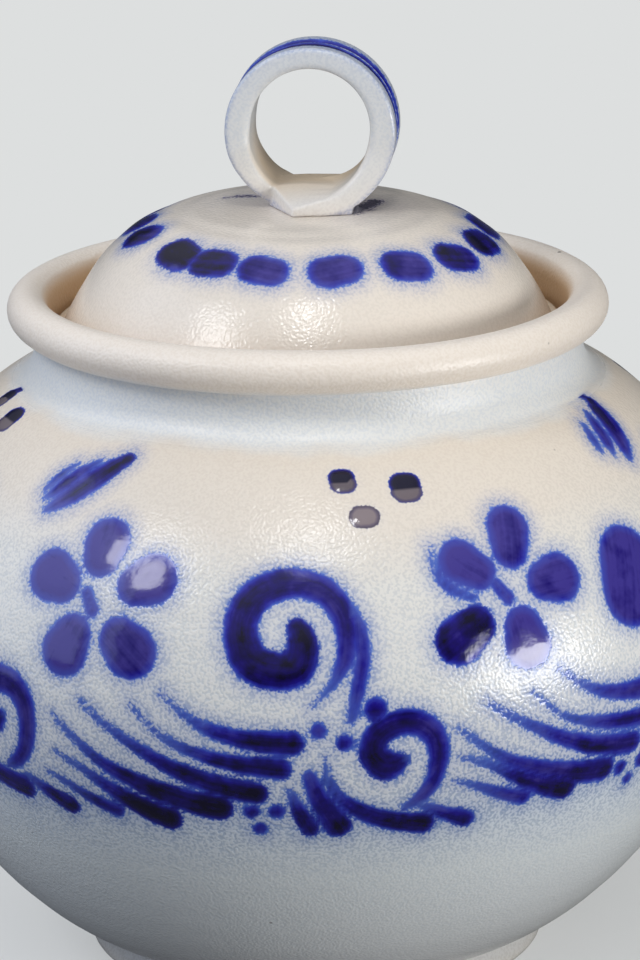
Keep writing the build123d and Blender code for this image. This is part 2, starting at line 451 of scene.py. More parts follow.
def set_back(coil):
    """How far in mm the strap stands back, at a share of the way round from its start."""
    return first_set * clamp(1 - coil / 0.2) ** 1.2 + last_set * clamp((coil - 0.79) / 0.13) ** 1.3


for vertex in ring_mesh.verts:
    out = (vertex.co - ring_middle) / MM
    radius = math.hypot(out.x, out.z)
    inner_share = clamp((outer_face - radius) / (outer_face - inner_face))
    coil = math.atan2(-out.x, out.z) / (2 * math.pi) + 0.5
    thinned = start_thinning * clamp(1 - coil / 0.22) ** 1.5 * clamp((3 - out.y) / 12)
    pressed = back_pressing * clamp(1 - ((coil - 0.115) / 0.08) ** 2) * clamp((out.y + 4) / 10)
    ended = last_thinning * clamp((coil - 0.74) / 0.16) ** 1.2 * (0.65 + 0.35 * clamp((4 - out.y) / 10))
    outward = (thinned + pressed + ended) * inner_share
    lift = hole_lift * inner_share + last_lift * clamp((coil - 0.84) / 0.14)
    vertex.co.x += outward * MM * out.x / radius
    vertex.co.z += (outward * out.z / radius + lift) * MM
    vertex.co.y += set_back(coil) * MM
bmesh.ops.bisect_plane(
    ring_mesh, geom=whole(ring_mesh), plane_co=(0, 0, seat[1] * MM), plane_no=(0, 0, 1), clear_inner=True,
)
bmesh.ops.holes_fill(ring_mesh, edges=[e for e in ring_mesh.edges if e.is_boundary], sides=0)
print("seat closed:", sum(e.is_boundary for e in ring_mesh.edges), "open edges left")

# %% Ring: the tongue that the strap starts with
tongue_plan = [
    (13.0, -13.0), (4.0, -15.0), (-5.0, -17.0), (-13.6, -1.2), (-14.2, 4.0), (-14.0, 10.5), (13.0, 10.5),
]
tongue_cuts = ((-13, 1), (-10, 1), (-7, 1), (-3, 1), (-11, 0), (-7, 0), (-3, 0))
tongue = bmesh.new()
tongue.faces.new([tongue.verts.new((x * MM, y * MM, seat[1] * MM)) for x, y in tongue_plan])
for place, backwards in tongue_cuts:
    normal = (1 - backwards, backwards, 0)
    bmesh.ops.bisect_plane(
        tongue, geom=whole(tongue), plane_co=Vector(normal) * place * MM, plane_no=normal,
    )
grown = bmesh.ops.extrude_face_region(tongue, geom=tongue.faces[:])
for vertex in grown["geom"]:
    if isinstance(vertex, bmesh.types.BMVert):
        x, y = vertex.co.x / MM, vertex.co.y / MM
        front_rise = 2.4 + 3.7 * clamp((x + 5.0) / 18)
        back_rise = 7.0 + 0.9 * clamp((x + 14) / 9)
        vertex.co.z += (front_rise + (back_rise - front_rise) * clamp((y + 17) / 15) ** 0.9) * MM
bmesh.ops.recalc_face_normals(tongue, faces=tongue.faces[:])
join_to(ring_mesh, tongue)
print("strap and tongue:", len(ring_mesh.faces), "faces")

# %% Ring: grown together and smoothed
rough = bpy.data.meshes.new("rough_ring")
ring_mesh.to_mesh(rough)
ring_mesh.free()
rough_ring = bpy.data.objects.new("rough_ring", rough)
bpy.context.scene.collection.objects.link(rough_ring)
grow = rough_ring.modifiers.new("grow_together", "REMESH")
grow.mode = "VOXEL"
grow.voxel_size = 0.45 * MM
grow.adaptivity = 0.0
soften = rough_ring.modifiers.new("soften", "SMOOTH")
soften.factor = 0.5
soften.iterations = 6
depsgraph = bpy.context.evaluated_depsgraph_get()
ring_clay = bpy.data.meshes.new_from_object(rough_ring.evaluated_get(depsgraph))
bpy.data.objects.remove(rough_ring)
bpy.data.meshes.remove(rough)
print("ring grown together:", len(ring_clay.vertices), "vertices")

# %% Ring: set on the lid, a little aside and turned
handle_shift, handle_turn_deg = 2.3, -5.6
turned = Matrix.Rotation(math.radians(handle_turn_deg), 4, "Z")
ring_place = Matrix.Translation((handle_shift * MM, 0, 0)) @ turned
ring_handle_mesh = bmesh.new()
ring_handle_mesh.from_mesh(ring_clay)
bpy.data.meshes.remove(ring_clay)
bmesh.ops.transform(ring_handle_mesh, matrix=ring_place, verts=ring_handle_mesh.verts[:])
ring_handle = make_piece("stoneware_ring_handle", ring_handle_mesh, 60)

# %% [markdown]
# ## Painting with cobalt
# The painter worked with a full brush: a stroke starts fat and dark and runs out thin. Each stroke
# is a few points, given as degrees round the pot from the front, millimetres up the wall, and half
# the stroke's width. A smooth line is passed through them, and each vertex of the mesh keeps its
# distance from the nearest stroke's edge, its place across and along that stroke, how much colour
# the brush held and how dry its thin end was. The material turns these into glaze.
# An image could hold the painting as well, but distances stay crisp at any size.

# %% Brush helpers
def vertex_spots(piece):
    """A piece's vertices in mm, one row each."""
    spots = np.empty(len(piece.data.vertices) * 3)
    piece.data.vertices.foreach_get("co", spots)
    return spots.reshape(-1, 3) / MM


def keep_values(piece, name, values):
    """Keeps a number, or a row of three, for each vertex of a piece as an attribute of its mesh."""
    kind, field = ("FLOAT", "value") if values.ndim == 1 else ("FLOAT_VECTOR", "vector")
    attribute = piece.data.attributes.new(name, kind, "POINT")
    attribute.data.foreach_set(field, values.astype(np.float32).ravel())


def brush_line(points, steps=7):
    """A smooth line of (turn, up, half width) through the given points."""
    p = np.array([points[0], *points, points[-1]], float)
    if len(points) == 1:
        return p[:2]
    t = np.linspace(0, 1, steps, endpoint=False)[:, None]
    runs = []
    for a, b, c, d in zip(p, p[1:], p[2:], p[3:]):
        square, cube = 2 * a - 5 * b + 4 * c - d, 3 * b - a - 3 * c + d
        runs.append(0.5 * (2 * b + (c - a) * t + square * t**2 + cube * t**3))
    return np.vstack([*runs, p[-1:]])


# %% [markdown]
# The painter measures every stroke on the wall rolled out flat about the stroke's middle, in mm. Of
# two strokes that cross, a vertex belongs to the one whose edge it lies deeper in.

# %% Painter
class Painter:
    """Lays strokes on one piece, given how far up the wall each vertex is and which are on the wall."""

    reach = 10.0
    stroke_apart = 37.0
    wet_half_width = 2.6
    dry_half_width = 0.4

    def __init__(self, piece, spots, up, on_wall, radius_at):
        self.piece = piece
        self.turn = np.degrees(np.arctan2(spots[:, 0], -spots[:, 1]))
        self.up, self.on_wall, self.radius_at = up, on_wall, radius_at
        self.edge = np.full(len(spots), self.reach)
        self.brush = np.zeros((len(spots), 3))
        self.dryness = np.zeros(len(spots))
        self.count = 0

    def stroke(self, points, head=1.0, tail=1.0, crisp=1.0):
        """One stroke; head and tail are its last and first points' colour, crisp is below 1 for a blur."""
        line = brush_line(points)
        middle_turn = (line[:, 0].min() + line[:, 0].max()) / 2
        girth = math.radians(1) * self.radius_at(line[:, 1].mean())
        path = np.column_stack([(line[:, 0] - middle_turn) * girth, line[:, 1]])
        around = (self.turn - middle_turn + 180) % 360 - 180
        room = self.reach + line[:, 2].max()
        near = self.on_wall & (abs(around) * girth < np.ptp(path[:, 0]) / 2 + room)
        near &= (self.up > path[:, 1].min() - room) & (self.up < path[:, 1].max() + room)
        rows = np.flatnonzero(near)
        spot = np.column_stack([around[rows] * girth, self.up[rows]])
        start, run = path[:-1], np.diff(path, axis=0)
        length = np.maximum(np.hypot(*run.T), 1e-6)
        offset = spot[:, None] - start[None]
        share = clamp((offset * run).sum(2) / length**2)
        gap = np.hypot(*np.moveaxis(offset - share[..., None] * run, 2, 0))
        width = line[:-1, 2] + share * np.diff(line[:, 2])
        distance = (gap - width) * crisp + (1 - crisp)
        best = distance.argmin(1)
        pick = np.arange(len(rows)), best
        aside = offset[pick]
        side = (run[best, 0] * aside[:, 1] - run[best, 1] * aside[:, 0]) / length[best]
        along = np.cumsum(np.concatenate([[0], length]))[best] + share[pick] * length[best]
        part = along / max(length.sum(), 1e-6)
        thin = (self.wet_half_width - width[pick]) / (self.wet_half_width - self.dry_half_width)
        self.count += 1
        nearer = distance[pick] < self.edge[rows]
        chosen = rows[nearer]
        self.edge[chosen] = distance[pick][nearer]
        self.brush[chosen, 0] = side[nearer] + self.stroke_apart * self.count
        self.brush[chosen, 1] = along[nearer]
        self.brush[chosen, 2] = (tail + (head - tail) * part**0.7)[nearer]
        self.dryness[chosen] = clamp(thin)[nearer]

    def keep(self):
        """Writes the painting onto the piece's mesh."""
        keep_values(self.piece, "cobalt_edge", self.edge)
        keep_values(self.piece, "dryness", self.dryness)
        keep_values(self.piece, "brush", self.brush)
        print(self.piece.name, self.count, "strokes,", int((self.edge < 0).sum()), "painted vertices")


# %% [markdown]
# ### The frieze
# Seven times round the widest part goes the same unit: a fan of seven feathered strokes that all
# sweep down to the right, then a small scroll with three strokes hanging from it, and six dots. No
# two units are quite alike, so each has its own shift and load of colour, and but for the first one
# each stroke has its own small slip of the hand.

# %% Frieze unit
fan = [
    [(-19, 139.5, 1.0), (-16.5, 134.5, 1.4), (-13, 130, 2.4), (-9, 127.5, 3.3), (-5, 126.5, 4.1),
     (-2.8, 126.4, 4.3)],
    [(-23, 135, 0.9), (-18.5, 126, 1.5), (-14, 122, 2.5), (-9, 119.5, 3.4), (-4.2, 118.5, 3.9)],
    [(-30, 134, 1.0), (-26, 127.5, 1.6), (-20, 119.5, 2.7), (-15, 114.5, 3.6), (-10, 111.5, 4.1),
     (-7.3, 110.5, 4.2)],
    [(-34, 128, 1.0), (-30, 120.5, 1.7), (-26, 114.5, 2.8), (-20, 109, 3.9), (-15, 106, 4.6),
     (-12, 105, 4.8)],
    [(-34, 116.5, 1.0), (-30, 112.5, 1.7), (-26, 107, 3.0), (-21.5, 102, 4.3), (-18.8, 99.8, 4.7)],
    [(-36, 109.5, 0.8), (-33, 107, 1.6), (-29, 102.5, 2.5), (-26, 100.2, 3.0)],
    [(-39.5, 106.5, 1.3), (-36.5, 102.5, 2.7), (-33, 99, 3.6)],
]
fan_colour = [1.0, 1.05, 1.2, 1.35, 1.4, 0.95, 1.3]
small_scroll = [
    (11.1, 120.4, 1.8), (8.9, 118.6, 5.2), (7.2, 122.4, 4.6), (7.5, 127.6, 4.4), (9.6, 131, 4.4),
    (12.4, 131.2, 4.4), (14.7, 127, 4.0), (15.3, 119.8, 3.5), (14.7, 112.6, 3.0), (13.2, 107.4, 2.6),
    (11.3, 104.4, 1.6),
]
hanging = [
    [(1.4, 122.6, 0.5), (1.6, 115.4, 1.5), (3.2, 108.5, 2.4), (6.5, 102.8, 3.4), (10.2, 99.6, 3.8),
     (13.7, 97.9, 4.2)],
    [(-0.6, 116, 2.4), (0.5, 108.7, 3.6), (2.8, 99.3, 4.6)],
    [(-3.1, 111.3, 1.4), (-2, 104.4, 2.8), (-0.7, 98.3, 3.4)],
]
frieze_dots = [
    (0.5, 130, 2.9), (3.7, 126.3, 3.0), (7.5, 136, 4.0),
    (-8, 104, 2.9), (-4.8, 104.3, 2.9), (-7, 98.2, 2.7),
]
pot_spots = vertex_spots(pot_body)
pot_radius = np.hypot(pot_spots[:, 0], pot_spots[:, 1])
outer_radius = np.interp(pot_spots[:, 2], wall_height, wall_radius)
on_pot_wall = (pot_spots[:, 2] < shoulder[1] + 1) & (pot_radius > outer_radius - 2.5)
pot_painter = Painter(
    pot_body, pot_spots, np.interp(pot_spots[:, 2], wall_height, wall_up), on_pot_wall,
    lambda up: float(np.interp(up, wall_up, wall_radius)),
)
print("wall to paint:", int(on_pot_wall.sum()), "vertices")

# %% Frieze round the pot
# Shifts are degrees aside and mm up. Two strokes of the second unit have one of their own.
unit_fill = [0.0, -0.3, 0.05, -0.2, 0.0, -0.25, 0.0]
unit_shift = [(0, 0), (0, 0), (0.8, 0.6), (-0.5, -0.8), (0.3, 0.5), (-0.6, 0.4), (-2.8, 4.0)]
stroke_shift = {(1, 4): (3.0, 3.5), (1, 5): (3.0, 2.5)}
slip_aside, slip_up, slip_fat = 0.7, 0.8, 0.07


def slipped(points, turn, slip, rise=0.0):
    """The points moved round the pot and up, each stroke with its own slip of the hand."""
    aside, up = random.gauss(0, slip_aside * slip), random.gauss(0, slip_up * slip)
    fat = 1 + random.gauss(0, slip_fat * slip)
    return [(t + turn + aside, u + rise + up, w * fat) for t, u, w in points]


random.seed(21)
for unit, (fill, (shift, rise)) in enumerate(zip(unit_fill, unit_shift)):
    turn = unit * 360 / len(unit_fill) + shift
    slip = 0.0 if unit == 0 else 1.0
    for index, (points, colour) in enumerate(zip(fan, fan_colour)):
        aside, lift = stroke_shift.get((unit, index), (0.0, 0.0))
        feather = slipped(points, turn + aside, slip, rise + lift)
        pot_painter.stroke(feather, head=colour + fill, tail=0.5)
    pot_painter.stroke(slipped(small_scroll, turn, slip, rise), head=0.6, tail=1.15 + fill)
    for points in hanging:
        pot_painter.stroke(slipped(points, turn, slip, rise), head=1.15 + fill, tail=0.6)
    for dot in frieze_dots:
        pot_painter.stroke(slipped([dot], turn, slip, rise), head=0.8, tail=0.8)
print("frieze:", pot_painter.count, "strokes")

# %% [markdown]
# ### Scrolls, flowers and leaves
# Above the frieze stand large scrolls between five-petalled flowers, with comma leaves and triplets
# of dots on the shoulder. A petal is one press of the brush, so it is a stroke of two points. It is
# given by its angle, its distance from the flower's middle, its half width, how much longer than a
# plain press it is, and its colour. A triplet's dabs are placed from its middle, and a leaf's strokes
# from its upper end.

# %% Large motifs
large_scroll = [
    (-1.9, 160, 3.4), (-1.3, 155.6, 4.9), (-2, 148.8, 5.6), (-4.6, 147.6, 6.0), (-7.5, 149.8, 6.0),
    (-8.9, 155.4, 5.7), (-9.1, 162.2, 5.5), (-7.7, 168.4, 5.5), (-5, 172, 5.2), (-1.9, 173, 4.8),
    (1.6, 170.5, 4.6), (3.8, 164.4, 4.4), (4.4, 156.8, 3.7), (3.8, 149.5, 2.8), (2.1, 142.9, 1.5),
    (-0.5, 136.9, 0.4),
]
scroll_echo = [(4.6, 168, 1.2), (6.0, 160, 2.3), (6.2, 151, 2.6), (5.4, 141.5, 2.5), (4.5, 132.9, 1.6)]
left_petals = [
    (90, 17, 8.0, 1.0, 0.1), (26, 19, 8.3, 1.0, 0.2), (-40, 18, 8.6, 1.0, 0.4),
    (-112, 14.5, 8.4, 1.0, 0.1), (160, 15.5, 8.4, 1.0, 0.1),
]
right_petals = [
    (74, 17, 7.4, 1.5, 0.3), (3, 15.5, 8.0, 1.0, 0.3), (-82, 14.5, 8.0, 1.0, 0.2),
    (-146, 20.0, 7.7, 1.4, 0.95), (143, 15.4, 7.3, 1.25, 0.1),
]
side_stroke = [(16.9, 182, 0.5), (16.9, 175.3, 1.4), (18.3, 169.2, 2.0), (21.6, 165.2, 1.6)]
comma_leaf = [
    [(0, 0, 2.8), (-2.4, -4.8, 4.0), (-4.6, -10.1, 4.6), (-7.2, -16.1, 3.8), (-10, -21.6, 1.6)],
    [(-5.0, -2.6, 1.4), (-7.4, -7.8, 2.8), (-9.4, -13.4, 3.0), (-11.4, -18.3, 1.2)],
    [(-9.2, -5.2, 1.1), (-11.0, -10.4, 2.0), (-12.2, -15.6, 1.4)],
]
leaf_colour = [1.3, 0.85, 0.75]
# Each dab: its place from the triplet's middle, its half width and its colour. Colours above 1.7 give the
# brown-grey of a painted reflection, as the glossy dots mirror their bright surroundings.
dot_triplet = [
    (-4.8, 5.4, 2.7, 1.55), (-4.6, 3.1, 2.7, 1.9), (5.4, 1.9, 3.5, 1.6), (5.4, -0.8, 3.4, 1.95),
    (-1.9, -8.2, 3.2, 2.1),
]
broad_petals = [
    [(47.5, 165.5, 12), (46.2, 157.5, 11.5)], [(71, 187, 8), (70, 182, 9)],
    [(76, 170, 8.5), (74, 167, 9.5)], [(73, 146, 9), (71.5, 149, 9.5)],
    [(60, 138, 8.5), (60.5, 142, 9.5)],
]
press_steps = ((-3.4, 0.82), (1.6, 1.0))


def flower(turn, up, petals, dab=-0.2):
    """Five pressed petals about a dab of colour."""
    girth = math.radians(1) * pot_painter.radius_at(up)
    for angle, reach, half, long, colour in petals:
        aim = math.radians(angle)
        press = []
        for step, fat in press_steps:
            out = reach + step * long
            press.append((turn + out * math.cos(aim) / girth, up + out * math.sin(aim), half * fat))
        pot_painter.stroke(press, head=colour, tail=colour + random.uniform(0, 0.25))
    middle = [(turn + dab - 0.7, up + 2.5, 2.3), (turn + dab + 0.7, up - 2.2, 2.6)]
    pot_painter.stroke(middle, head=0.4, tail=0.6)


def scroll(turn, slip):
    """A large scroll with the thin echo of its last turn."""
    pot_painter.stroke(slipped(large_scroll, turn, slip), head=0.6, tail=1.2)
    pot_painter.stroke(slipped(scroll_echo, turn, slip), head=0.6, tail=0.5)


def leaf(turn, up, slant):
    """A comma leaf: a wet stroke, and hairs of the brush that parted beside it."""
    for points, colour in zip(comma_leaf, leaf_colour):
        first = points[0][0]
        moved = [(turn + first + (t - first) * slant, up + u, w) for t, u, w in points]
        pot_painter.stroke(moved, head=0.45, tail=colour)


def triplet(turn, up):
    """Three thick dots: two are dark above with a brown-grey painted reflection below, and the lowest is
    painted reflection all over.
    """
    for t, u, w, colour in dot_triplet:
        dab = [(turn + t - 0.5, up + u, w), (turn + t + 0.5, up + u, w)]
        pot_painter.stroke(dab, colour, colour, crisp=2.2)


# %% Large motifs round the pot
scroll(0, 0)
pot_painter.stroke(side_stroke, head=0.7, tail=0.6)
flower(-30.2, 163, left_petals)
flower(27, 166, right_petals, -1.3)
leaf(-32.8, 209.1, 1.0)
leaf(66, 215.5, 0.55)
triplet(9.9, 201)
triplet(-73, 209)
for press in broad_petals:
    pot_painter.stroke(press, head=0.4, tail=0.3)
for turn, petals_turn in ((98, 15), (180, -20)):
    scroll(turn, 1)
    triplet(turn + 9, 201)
    flower(turn + 29, 165, [(angle - petals_turn, *rest) for angle, *rest in right_petals])
    leaf(turn + 47, 208, 0.9)
scroll(262, 1)
flower(295, 164, [(angle + 30, *rest) for angle, *rest in left_petals])
leaf(229, 208, 0.9)
pot_painter.keep()

# %% [markdown]
# ### The lid's dots and the ring's grooves
# A ring of broad dabs goes round the dome, and colour was run into the two grooves of the strap,
# where it pooled and left the ridges pale. Smudges of it were caught beside the ring's foot, and
# the ring's shadow is painted over them.

# %% Lid dots
lid_spots = vertex_spots(lid)
lid_radius = np.hypot(lid_spots[:, 0], lid_spots[:, 1])
dome_z = np.interp(lid_radius, dome_radius[::-1], dome_height[::-1])


def lid_way_up(radius):
    """How far up the dome, and on over its flat seat, a radius in mm lies."""
    return np.interp(radius, dome_radius[::-1], dome_up[::-1]) + np.maximum(0, seat[0] - radius)


lid_painter = Painter(
    lid, lid_spots, lid_way_up(lid_radius), lid_spots[:, 2] > dome_z - 2,
    lambda up: float(np.interp(up, dome_up, dome_radius)),
)
random.seed(5)
dabs = [
    (-115, 38, 0.6), (-96, 39, 0.7), (-76, 39.5, 0.75), (-47, 38.3, 1.1), (-31.5, 37.5, 0.9),
    (-14, 36.3, 0.4), (9, 36.3, 0.35), (32.5, 35, 0.45), (53, 33.6, 0.75), (73, 34.4, 0.95),
    (92, 36, 0.6), (111, 36, 0.4), (130, 36.5, 0.8), (148, 37, 0.5), (166, 37, 0.9), (184, 37.5, 0.4),
    (203, 38, 0.7), (222, 38.5, 0.5),
]
for turn, up, colour in dabs:
    wide, tall = random.uniform(2.2, 2.9), random.uniform(6.2, 6.8)
    lean = random.uniform(-0.9, 0.9)
    dab = [(turn - wide, up - lean, tall), (turn + wide, up + lean, tall * 0.96)]
    lid_painter.stroke(dab, head=colour + 0.05, tail=colour + 0.3)
print("lid dabs:", lid_painter.count, "strokes")

# %% Smudges and the ring's painted shadow on the lid, placed in mm as seen from above
# Two smears of cobalt beside the ring's foot, darkened into painted shadow of the ring. Each is points of
# x, y and half width in mm, with a colour heavy enough for the brown-grey ramp.
smudges_and_painted_shadow = [
    ([(14, -12, 3.2), (17, -4, 5.4), (21, 5, 4.6)], 2.1),
    ([(-14, 13, 2.4), (-19, 15, 3.6), (-25, 13, 2.6)], 2.05),
]
for smudge_and_shadow, colour in smudges_and_painted_shadow:
    points = [
        (math.degrees(math.atan2(x, -y)), float(lid_way_up(math.hypot(x, y))), half)
        for x, y, half in smudge_and_shadow
    ]
    lid_painter.stroke(points, head=colour, tail=colour, crisp=0.36)
lid_painter.keep()

# %% Ring grooves
band_half, blue_depth, groove_load = 5.6, 2.4, 1.15
run_from, run_half_deg = 16, 74
ring_back = np.array(ring_place.inverted())
ring_spots = vertex_spots(ring_handle) @ ring_back[:3, :3].T + ring_back[:3, 3] / MM
ring_out = np.hypot(ring_spots[:, 0], ring_spots[:, 2] - ring_axis_height)
ring_turn = np.degrees(np.arctan2(ring_spots[:, 0], ring_spots[:, 2] - ring_axis_height))
strap_y = ring_spots[:, 1] - set_back(0.5 - ring_turn / 360)
pale_line = 0.1 + 0.5 * clamp((ring_turn - 4) / 10) - abs(strap_y - 0.2)
band_gap = np.maximum(abs(strap_y) - band_half, pale_line)
run_out = np.maximum(0, abs(ring_turn - run_from) - run_half_deg) * 0.06
ring_edge = band_gap + run_out + 3.0 * np.maximum(0, ring_outer - blue_depth - ring_out)
outside_wash = 2.0 + 3 * np.maximum(0, ring_outer - 0.5 - ring_out)
ring_edge = np.minimum(ring_edge, outside_wash)
ring_load = np.full(len(ring_spots), groove_load)
keep_values(ring_handle, "cobalt_edge", np.clip(ring_edge, -4, Painter.reach))
keep_values(ring_handle, "brush", np.column_stack([strap_y, np.radians(ring_turn) * ring_outer, ring_load]))
# The foot ring is bare, so every vertex of it is out of the brush's reach.
keep_values(foot_ring, "cobalt_edge", np.full(len(foot_ring.data.vertices), Painter.reach))
print("ring grooves painted:", int((ring_edge < 0).sum()), "vertices")

# %% [markdown]
# ### Where the salt hardly reached
# The inner wall of the rim and everything below it stayed a toasted tan, and so did the surfaces of
# the ring that look in towards its hole low down. Each vertex says how far it is sheltered so, and
# the glaze mixes its colour by that.

# %% Sheltered places
inside_from, throat_from = 9, 184
tan_radius, tan_over = 82.6, 2.4
inner_wall = (pot_spots[:, 2] < throat_from) & (pot_spots[:, 2] > inside_from) & ~on_pot_wall
rim_share = clamp((tan_radius - pot_radius) / tan_over) * (pot_spots[:, 2] >= throat_from)
pot_share = np.maximum(inner_wall, rim_share)
ring_normals = np.empty(len(ring_spots) * 3)
ring_handle.data.vertex_normals.foreach_get("vector", ring_normals)
ring_normals = ring_normals.reshape(-1, 3) @ ring_back[:3, :3].T
hole_rise = ring_axis_height + hole_lift - ring_spots[:, 2]
to_hole = np.column_stack([-ring_spots[:, 0], np.zeros(len(ring_spots)), hole_rise])
to_hole /= np.maximum(np.linalg.norm(to_hole, axis=1), 1e-6)[:, None]
inward = clamp(((ring_normals * to_hole).sum(1) - 0.35) / 0.4)
low_down = clamp((264 - ring_spots[:, 2]) / 14)
ring_share = inward * low_down * clamp((ring_spots[:, 1] + 15) / 16)
for piece, sheltered in ((pot_body, pot_share), (ring_handle, ring_share)):
    keep_values(piece, "indoors", sheltered)
    print(piece.name, int((sheltered > 0.5).sum()), "sheltered vertices")

# %% [markdown]
# ## Salt-glazed stoneware
# Salt glaze is a thin sodium glass (IOR about 1.5) that gathers in small beads, 1 to 2 mm across, so
# the surface is dimpled like the peel of an orange. Between the beads the glaze is thin and greyer.
# Cobalt under it melts to a deep blue glass, almost black where it is thick and bright blue at its
# edge, where beads of clear glaze bite into it. One builder makes the finish for every piece, with
# each piece's own colours by height, because they came out of the same firing.

# %% Material helpers
def linear(hex_colour):
    """An sRGB hex colour as the linear RGBA that Blender works in."""
    parts = [int(hex_colour[i:i + 2], 16) / 255 for i in (1, 3, 5)]
    return (*[c / 12.92 if c <= 0.04045 else ((c + 0.055) / 1.055) ** 2.4 for c in parts], 1.0)


def add(tree, kind, inputs=None, stops=(), take=0, **settings):
    """Adds a shader node with its settings, inputs (a link, value or hex colour) and a ramp's stops.

    It gives back the node's first output, or the one to take.
    """
    node = tree.nodes.new("ShaderNode" + kind)
    for name, value in settings.items():
        setattr(node, name, value)
    for key, value in (inputs or {}).items():
        if isinstance(value, bpy.types.NodeSocket):
            tree.links.new(value, node.inputs[key])
        else:
            node.inputs[key].default_value = linear(value) if isinstance(value, str) else value
    for index, (position, colour) in enumerate(stops):
        points = node.color_ramp.elements
        point = points[index] if index < len(points) else points.new(1.0)
        point.position, point.color = position, linear(colour)
    return node.outputs[take] if len(node.outputs) else None


def per_mm(size):
    """The scale of a texture whose features are a size in mm, on coordinates in metres."""
    return 1 / (size * MM)


# %% [markdown]
# ### The clay and its beads
# The beads lie about 1.4 mm apart and run into one another like the grain of leather, so they are a
# fine noise, cut off soft. Their colour and the greyer colour between them change with height: warm
# on the shoulder, rim and lid, cool on the belly where salt lay thickest. Iron in the clay burnt out
# as a few brown specks.

# %% Clay and beads
bead_spacing = 1.38
drift_size, drift_rise = 26.0, 6
speck_spacing = 24.0
iron_brown = "#5A4636"


def glaze_grain(tree, place, size):
    """A soft grain of humps about a size in mm apart."""
    humps = {"Vector": place, "Scale": per_mm(0.62 * size), "Detail": 0.6, "Roughness": 0.4}
    return add(tree, "TexNoise", humps)


def clay_by_height(tree, place, bead, stops):
    """The fired clay's colour; a stop is a height in mm, the colour of a bead and of the gaps."""
    height = add(tree, "SeparateXYZ", {0: place}, take="Z")
    drift = add(tree, "TexNoise", {"Vector": place, "Scale": per_mm(drift_size), "Detail": 3.0})
    uneven = add(tree, "Math", {0: drift, 1: drift_rise * MM, 2: height}, operation="MULTIPLY_ADD")
    low, high = stops[0][0], stops[-1][0]
    low_level, high_level = (low + drift_rise / 2) * MM, (high + drift_rise / 2) * MM
    level = add(tree, "MapRange", {"Value": uneven, "From Min": low_level, "From Max": high_level})
    bead_stops = [((z - low) / (high - low), tint) for z, tint, _ in stops]
    gap_stops = [((z - low) / (high - low), tint) for z, _, tint in stops]
    on_beads = add(tree, "ValToRGB", {"Fac": level}, stops=bead_stops)
    in_gaps = add(tree, "ValToRGB", {"Fac": level}, stops=gap_stops)
    clay = add(tree, "Mix", {0: bead, 6: in_gaps, 7: on_beads}, data_type="RGBA", take=2)
    specks = add(tree, "TexVoronoi", {"Vector": place, "Scale": per_mm(speck_spacing)})
    specks_sheen_and_shade = add(tree, "MapRange", {"Value": specks, "From Min": 0.034, "From Max": 0.02, "To Max": 0.8})
    return add(tree, "Mix", {0: specks_sheen_and_shade, 6: clay, 7: iron_brown}, data_type="RGBA", take=2)


# %% [markdown]
# ### Cobalt under the glaze
# Close to a stroke, blue has crept out, most of all between the beads. The stroke's own edge is
# frayed by a fine noise and bitten by the beads, and the brush's hairs parted where it ran dry. Its
# colour goes by how deep inside the stroke a place is, along one of four ramps: a violet wash, the
# ultramarine of a full stroke, the nearly black blue of a pool, and a brown-grey that is painted
# reflection on the triplets' dots and painted shadow on the lid's smudges.

# %% Cobalt: colours, and the blue that crept out
wash_cobalt = [(0.0, "#86A0D8"), (0.18, "#5A74C8"), (0.4, "#4048A8"), (1.0, "#40368C")]
stroke_cobalt = [
    (0.0, "#7C98D4"), (0.18, "#4A6AC4"), (0.42, "#2C34AA"), (0.66, "#1D148A"), (1.0, "#190B6A"),
]
pooled_cobalt = [
    (0.0, "#6480C8"), (0.18, "#3850B0"), (0.38, "#1C1984"), (0.62, "#10084C"), (1.0, "#090326"),
]
# A brown-grey ramp of painted reflection and shade: on the triplets' dots it mirrors their bright
# surroundings, and on the lid's smudges it is the ring's painted shadow.
cobalt_sheen_and_shade = [(0.0, "#6E6690"), (0.3, "#58505F"), (0.65, "#6E6272"), (1.0, "#8A7D80")]
crept_cobalt = "#6C85C0"
dry_cobalt = "#5674C0"
crept_reach, fray_size = 8.0, 2.2


def crept_blue(tree, clay, edge, load, bead):
    """The clay near a stroke, stained most between the beads; beside the heaviest dabs, the triplets' and
    the smudges', hardly at all.
    """
    near = add(tree, "MapRange", {"Value": edge, "From Min": crept_reach, "From Max": -0.3})
    fading = add(tree, "Math", {0: near, 1: 2.4}, operation="POWER")
    between_beads = add(tree, "MapRange", {"Value": bead, "To Min": 0.95, "To Max": 0.5})
    stain_by_load = add(tree, "MapRange", {"Value": load, "From Min": 1.5, "From Max": 1.3, "To Min": 0.1})
    stain = add(tree, "Math", {0: fading, 1: between_beads}, operation="MULTIPLY")
    share = add(tree, "Math", {0: stain, 1: stain_by_load}, operation="MULTIPLY")
    return add(tree, "Mix", {0: share, 6: clay, 7: crept_cobalt}, data_type="RGBA", take=2)


def stroke_edge(tree, place, edge, dryness, streak, bite):
    """The distance in mm from a stroke's edge, frayed and parted by the brush's hairs."""
    fray = add(tree, "TexNoise", {"Vector": place, "Scale": per_mm(fray_size), "Detail": 2.0})
    frayed = add(tree, "Math", {0: fray, 1: 1.2 * bite, 2: edge}, operation="MULTIPLY_ADD")
    centred = add(tree, "Math", {0: frayed, 1: 0.6 * bite}, operation="SUBTRACT")
    parting = add(tree, "Math", {0: streak, 1: 0.5}, operation="SUBTRACT")
    parted = add(tree, "Math", {0: parting, 1: dryness}, operation="MULTIPLY")
    return add(tree, "Math", {0: parted, 1: 1.2, 2: centred}, operation="MULTIPLY_ADD")


